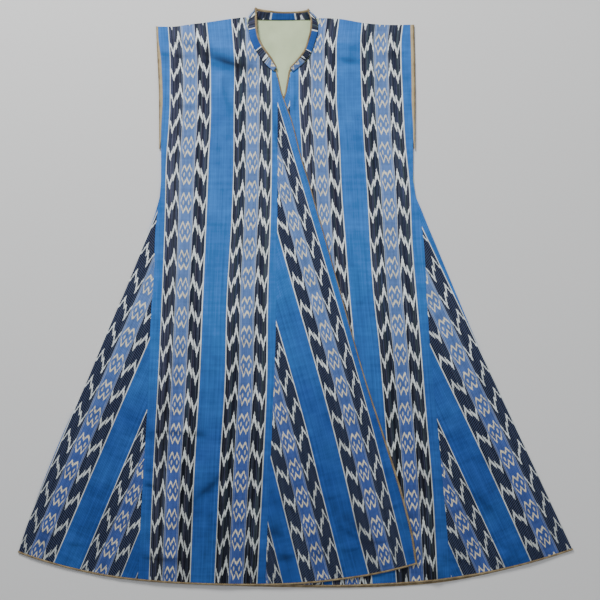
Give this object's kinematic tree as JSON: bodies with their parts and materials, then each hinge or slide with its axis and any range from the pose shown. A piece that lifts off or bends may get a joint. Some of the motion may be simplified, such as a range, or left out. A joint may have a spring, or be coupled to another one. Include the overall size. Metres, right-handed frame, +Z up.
{
  "type": "sleeveless ikat caftan laid flat",
  "caption": "Sleeveless flared caftan of striped blue ikat with a low stand collar, side and front gores and narrow braid on its edges, laid flat and face up with the wearer's right front lapped over.",
  "frame": {"origin": "centre of the garment's outline on the surface it lies on", "axes": "+Y towards the collar, +X to the wearer's left, +Z up out of the front"},
  "size_m": [1.2488, 1.3067, 0.0112],
  "materials": {
    "ikat_cloth": "soft sheen, warp-faced",
    "lining": "plain matt cotton",
    "braid": "plaited, slightly lustrous"
  },
  "bodies": {
    "root": {"back_panel": "ikat_cloth", "back_gore_right": "ikat_cloth", "back_gore_left": "ikat_cloth", "neck_lining": "lining", "left_front": "ikat_cloth", "left_front_gore": "ikat_cloth", "left_side_gore": "ikat_cloth", "right_front": "ikat_cloth", "right_front_gore": "ikat_cloth", "right_side_gore": "ikat_cloth", "collar": "ikat_cloth", "braid_collar": "braid", "braid_right_front": "braid", "braid_left_front": "braid", "braid_hem_right": "braid", "braid_hem_left": "braid", "braid_hem_back": "braid", "braid_armhole_right_front": "braid", "braid_armhole_right_back": "braid", "braid_armhole_left_front": "braid", "braid_armhole_left_back": "braid"}
  },
  "joints": []
}
